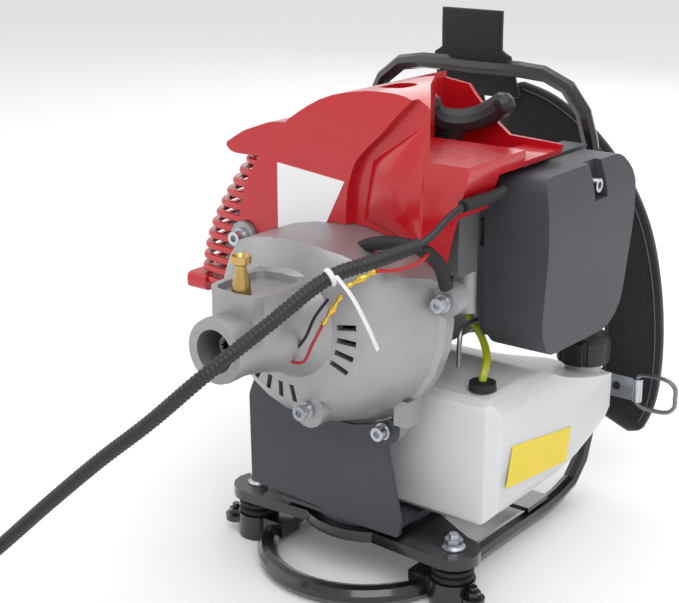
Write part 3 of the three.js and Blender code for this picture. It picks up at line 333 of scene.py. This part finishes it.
def circle(radii, sides):
    """Round sections: radius(i) * (cos, sin)."""
    a = np.linspace(0, 2 * np.pi, sides, endpoint=False)
    return np.asarray(radii)[:, None, None] * np.stack([np.cos(a), np.sin(a)], axis=-1)[None]


def tube(name, points, radius_mm, look, body, sides=12, step_mm=2.0):
    line, _ = smooth_line(line_of(points), step_mm / 1000)
    return sweep(name, line, circle(np.full(len(line), radius_mm / 1000), sides), look, body)


def rolled(width, thickness, count, power=4.0):
    """Section of a padded band: |x / a|^p + |y / b|^p = 1, a superellipse."""
    a = np.linspace(0, 2 * np.pi, count, endpoint=False)
    c, s = np.cos(a), np.sin(a)
    return np.stack([np.sign(c) * np.abs(c) ** (2 / power) * width / 2,
                     np.sign(s) * np.abs(s) ** (2 / power) * thickness / 2], axis=-1)


# ---- corrugated throttle conduit: down past the collar, a loose coil on the floor and the handle ----
CORD_R = 0.00425
ROUTE = [(73, -64, 229), (58, -84, 222), (45, -106, 216), (28, -138, 194), (9, -168, 170),
         (-18, -178.5, 143),
         (-47, -188, 117), (-80, -196, 86), (-116, -204, 51), (-134, -209, 34), (-156, -213.5, 14),
         (-172, -215.2, 6), (-194, -215.3, 5), (-210, -215.3, 5)]
COIL_X, COIL_Y, COIL_R, TURNS = -225, -262, 46.7, 1.5
turn = np.linspace(0, TURNS * 2 * math.pi, 28)
COIL_Z, COIL_RISE = 5, 9.0
coil = [(COIL_X - COIL_R * math.sin(t), COIL_Y + COIL_R * math.cos(t), COIL_Z + COIL_RISE * t / (2 * math.pi))
        for t in turn]
TAIL = [(-208, -308.7, 18.3), (-192, -308.6, 17.4), (-178, -308.3, 16.4), (-163, -308, 16)]
RING_STEP = 0.0007
RIB_PITCH = 0.0028
conduit_line, conduit_length = smooth_line(line_of(ROUTE + coil + TAIL), RING_STEP)
swing = np.sin(2 * np.pi * np.arange(len(conduit_line)) * RING_STEP / RIB_PITCH)
# Ribs: radius = R * (0.93 + 0.07 * a sine squared off by its 0.4th power).
ribs = CORD_R * (0.93 + 0.07 * np.sign(swing) * np.abs(swing) ** 0.4)
conduit = sweep("conduit_ribbed", conduit_line, circle(ribs, 14), black, None)
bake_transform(conduit)
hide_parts("throttle_conduit", "conduit_coil", "conduit_tail")

# The inner cable and wires between the conduit's end and the carburettor.
tube("inner_cable", [(70, -69, 227), (76, -60, 232), (80, -48, 241), (82, -36, 246)], 2.0, black,
     "engine")
tube("cable_end", [(66, 14, 245.5), (58, 14, 245), (50, 12, 245)], 1.2, steel, "engine")
tube("breather_hose", [(19, -50, 214), (40, -58, 223), (59, -62, 227), (73, -58, 224),
                       (78, -52, 216), (79, -46, 202)],
     3.8, rubber, "engine")
tube("wire_black", [(44, -106, 204), (35, -106, 192), (26, -104, 177), (16, -106, 167),
                    (12, -112, 173), (16, -118, 182)],
     0.9, rubber, "engine", sides=8)
tube("wire_red", [(42, -108, 190), (32, -104, 176), (25, -104, 164), (17, -106, 164),
                  (13, -112, 174), (18, -118, 185)],
     0.9, wire_red, "engine", sides=8)
tube("wire_red_upper", [(69, -98, 222), (73, -84, 220), (78, -72, 222), (77, -62, 224)], 1.1, wire_red,
     "engine", sides=8)


def bullet(name, ends):
    """A crimped bullet connector: radius(s) swells at both barrels and narrows between them."""
    line = np.linspace(*line_of(ends), 49)
    s = np.linspace(0, 1, 49)
    barrels = 0.0006 * np.cos(4 * np.pi * s) * (s > 0.1) * (s < 0.9)
    radii = 0.0015 + barrels - 0.0007 * (s < 0.03) - 0.0007 * (s > 0.97)
    sweep(name, line, circle(radii, 14), gold, "engine")


bullet("connector_upper", [(56, -106, 213), (69, -98, 222)])
bullet("connector_lower", [(42, -108, 190), (53, -106, 208)])

# White cable tie: a band round the conduit and the wires, with a flat tail that hangs off.
tie_spot = at(*(46, -106, 216))
nearest = int(np.argmin(np.linalg.norm(conduit_line - tie_spot, axis=1)))
tie_line = conduit_line[nearest - 2:nearest + 3]
tie_rings = circle(np.array([0.0047, 0.0052, 0.0053, 0.0052, 0.0047]), 28)
sweep("tie_band", tie_line, tie_rings, tie_white, "engine")
TIE_TAIL = [(54, -112, 220), (65, -113, 211), (72, -110, 197), (75, -104, 182)]
tail_line, _ = smooth_line(line_of(TIE_TAIL), 0.001)
tail_section = np.repeat(rolled(0.0030, 0.0011, 20)[None], len(tail_line), axis=0)
sweep("tie_tail", tail_line, tail_section, tie_white, "engine", up=(1, 0, 0))

# ---- starter rope ----
ROPE_TOP, PULL = np.array([10.0, 53.0, 254.0]), np.array([0.5, 0.0, 0.866])
rope_line = line_of([ROPE_TOP + PULL * s for s in np.linspace(-9, 5, 29)])
twist = 0.0016 * (1 + 0.08 * np.sin(np.arange(29) * 1.9))
rope = sweep("starter_rope", rope_line, circle(twist, 10), webbing, None, up=(0, 1, 0))
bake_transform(rope)

# ---- round bars over the guard's wires ----
for i in range(13):
    z = 158 + i * 92 / 12
    t = min((250 - z) / 92, 1)
    x = -100 - 46 * math.sin(t * math.pi / 2)
    bar = [(-77, -4, z), (x + 19, -4, z), (x + 7, 0, z), (x, 14, z), (x, 52, z), (x + 7, 66, z),
           (x + 19, 70, z), (-77, 70, z)]
    tube(f"guard_bar_{i}", bar, 2.4, red, "engine", sides=12, step_mm=3)

# ---- harness ----
STRAP_MID_Y = 178
for side, word in ((1, "right"), (-1, "left")):
    path = [(-26 + side * x, STRAP_MID_Y + bow, z) for x, z, bow in
            ((8, 260, -2), (38, 251, 0), (72, 226, 1), (98, 188, 1.5), (112, 130, 1.5), (112, 74, 0.5),
             (103, 50, -1))]
    line, _ = smooth_line(line_of(path), 0.003)
    s = np.linspace(0, 1, len(line))
    swell = 1 + 0.05 * np.sin(s * 40) * np.sin(s * np.pi)
    ends = np.minimum(1, np.minimum(s, 1 - s) * 22 + 0.35)
    section = rolled(0.042, 0.0095, 40)[None] * np.stack([ends ** 0.4, swell * ends], axis=-1)[:, None]
    strap = sweep(f"strap_{word}_padded", line, section, webbing, "frame", up=(0, 1, 0))
    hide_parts(f"shoulder_strap_{word}")
    for edge in (-1, 1):
        sides_, normals_ = frames(line, np.array([0, 1.0, 0]))
        seam = line + sides_ * 0.0172 * edge - normals_ * 0.0001
        for face in (-1, 1):
            thread = seam[4:-4] + normals_[4:-4] * 0.0046 * face
            rings = circle(np.full(len(thread), 0.0005), 6)
            sweep(f"seam_{word}_{edge + 1}_{face + 1}", thread, rings, stitch, "frame")

# The yoke: a webbing band folded up and over behind the top bar.
FOLD_X = -35.5
fold_path = [(FOLD_X, y, z) for y, z in ((171, 268), (165, 282), (160, 297), (159, 312), (159, 326.5))]
line, _ = smooth_line(line_of(fold_path), 0.002)
s = np.linspace(0, 1, len(line))
half = np.interp(s, [0, 0.30, 0.5, 0.56, 1], [0.064, 0.062, 0.060, 0.047, 0.047])
section = rolled(1.0, 0.0042, 36, 8)[None] * np.stack([half, np.ones_like(half)], axis=-1)[:, None]
yoke = sweep("yoke_webbing", line, section, webbing, "frame", up=(0, 1, 0))
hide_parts("harness_yoke")


def plate(name, corners, thickness_mm, look, axis):
    """A thin label: corners in drawing mm on a face, given thickness along an axis."""
    front = line_of(corners)
    n = len(front)
    off = np.array(axis, float) * thickness_mm / 1000
    pts = np.vstack([front, front + off])
    sides = [[i, (i + 1) % n, n + (i + 1) % n, n + i] for i in range(n)]
    faces = [list(range(n))[::-1], list(range(n, 2 * n))] + sides
    return mesh_object(name, pts, faces, look, "engine", smooth=False)


COVER_LABEL = [(-45, -38, 254), (4, -38, 249), (-15, -38, 211), (-45, -38, 214)]
TANK_LABEL = [(94, 7, 94), (94, 80, 82), (94, 76, 60), (94, 1, 69)]
plate("cover_label", COVER_LABEL, 0.4, label_white, (0, -1, 0))
plate("tank_label", TANK_LABEL, 0.4, label_yellow, (1, 0, 0))

def cover_lobe(count=41):
    """The cover's bulging lobe, right of its main band.

    y = face - rise * sin(pi u)^0.6 * sin(pi v)^0.5, closed by a flat back sunk into the cover."""
    u, v = np.meshgrid(np.linspace(0, 1, count), np.linspace(0, 1, count), indexing="ij")
    left_x, right_x = 13 + 6 * v, 53 + 2 * v
    low_z, high_z = 226 - 16 * u ** 2, 262 + 25 * u
    x = left_x + (right_x - left_x) * u
    z = low_z + (high_z - low_z) * v
    y = -31.6 - 6.2 * np.sin(np.pi * u) ** 0.6 * np.sin(np.pi * v) ** 0.5
    front = np.stack([x, y, z], axis=-1) / 1000 + np.array([AXIS_X, AXIS_Y, 0])
    back = front.copy()
    back[..., 1] = -0.0312 + AXIS_Y
    skin = np.vstack([front.reshape(-1, 3), back.reshape(-1, 3)])
    last = count - 1
    total = count * count
    i, j = np.meshgrid(np.arange(last), np.arange(last), indexing="ij")
    corner = i * count + j
    cell = np.stack([corner, corner + count, corner + count + 1, corner + 1], axis=-1).reshape(-1, 4)
    rim = list(range(count)) + [k * count + last for k in range(1, count)]
    rim += [last * count + k for k in range(last - 1, -1, -1)] + [k * count for k in range(last - 1, 0, -1)]
    after = rim[1:] + rim[:1]
    wall = [(a, b, b + total, a + total) for a, b in zip(rim, after)]
    faces = [*cell, *(cell[:, ::-1] + total), *wall]
    return mesh_object("cover_lobe", skin, faces, red, "engine")


cover_lobe()

# ---- studio ----
def area(name, place, size, power, target):
    light = bpy.data.objects.new(name, bpy.data.lights.new(name, "AREA"))
    light.data.shape = "RECTANGLE"
    light.data.size, light.data.size_y = size
    light.data.energy = power
    light.location = place
    light.rotation_mode = "QUATERNION"
    light.rotation_quaternion = (Vector(target) - Vector(place)).to_track_quat("-Z", "Y")
    bpy.context.scene.collection.objects.link(light)


area("key", (0.9, -0.9, 1.5), (1.2, 1.2), 13, (0, 0, 0.15))
area("fill", (-1.4, -0.8, 0.9), (1.4, 1.4), 4, (0, 0, 0.15))
area("top", (0.0, 0.2, 1.8), (1.6, 1.6), 7, (0, 0, 0.1))
area("back", (-0.4, 1.6, 1.1), (1.6, 1.2), 7, (0, 0, 0.15))
world = bpy.data.worlds.new("studio")
world.use_nodes = True
world.node_tree.nodes["Background"].inputs[0].default_value = (1, 1, 1, 1)
world.node_tree.nodes["Background"].inputs[1].default_value = 0.8
bpy.context.scene.world = world
bpy.context.scene.view_settings.view_transform = "Standard"

floor_look = surface("floor_paper", "f4f4f4", 0.8, grain=3.0, tone=0.01, bump=0.02)
FLOOR_HALF = 6
FLOOR_Z = -0.0005
floor_corners = [(x * FLOOR_HALF, y * FLOOR_HALF, FLOOR_Z) for x, y in ((-1, -1), (1, -1), (1, 1), (-1, 1))]
floor = mesh_object("floor", floor_corners, [(0, 1, 2, 3)], floor_look, None)
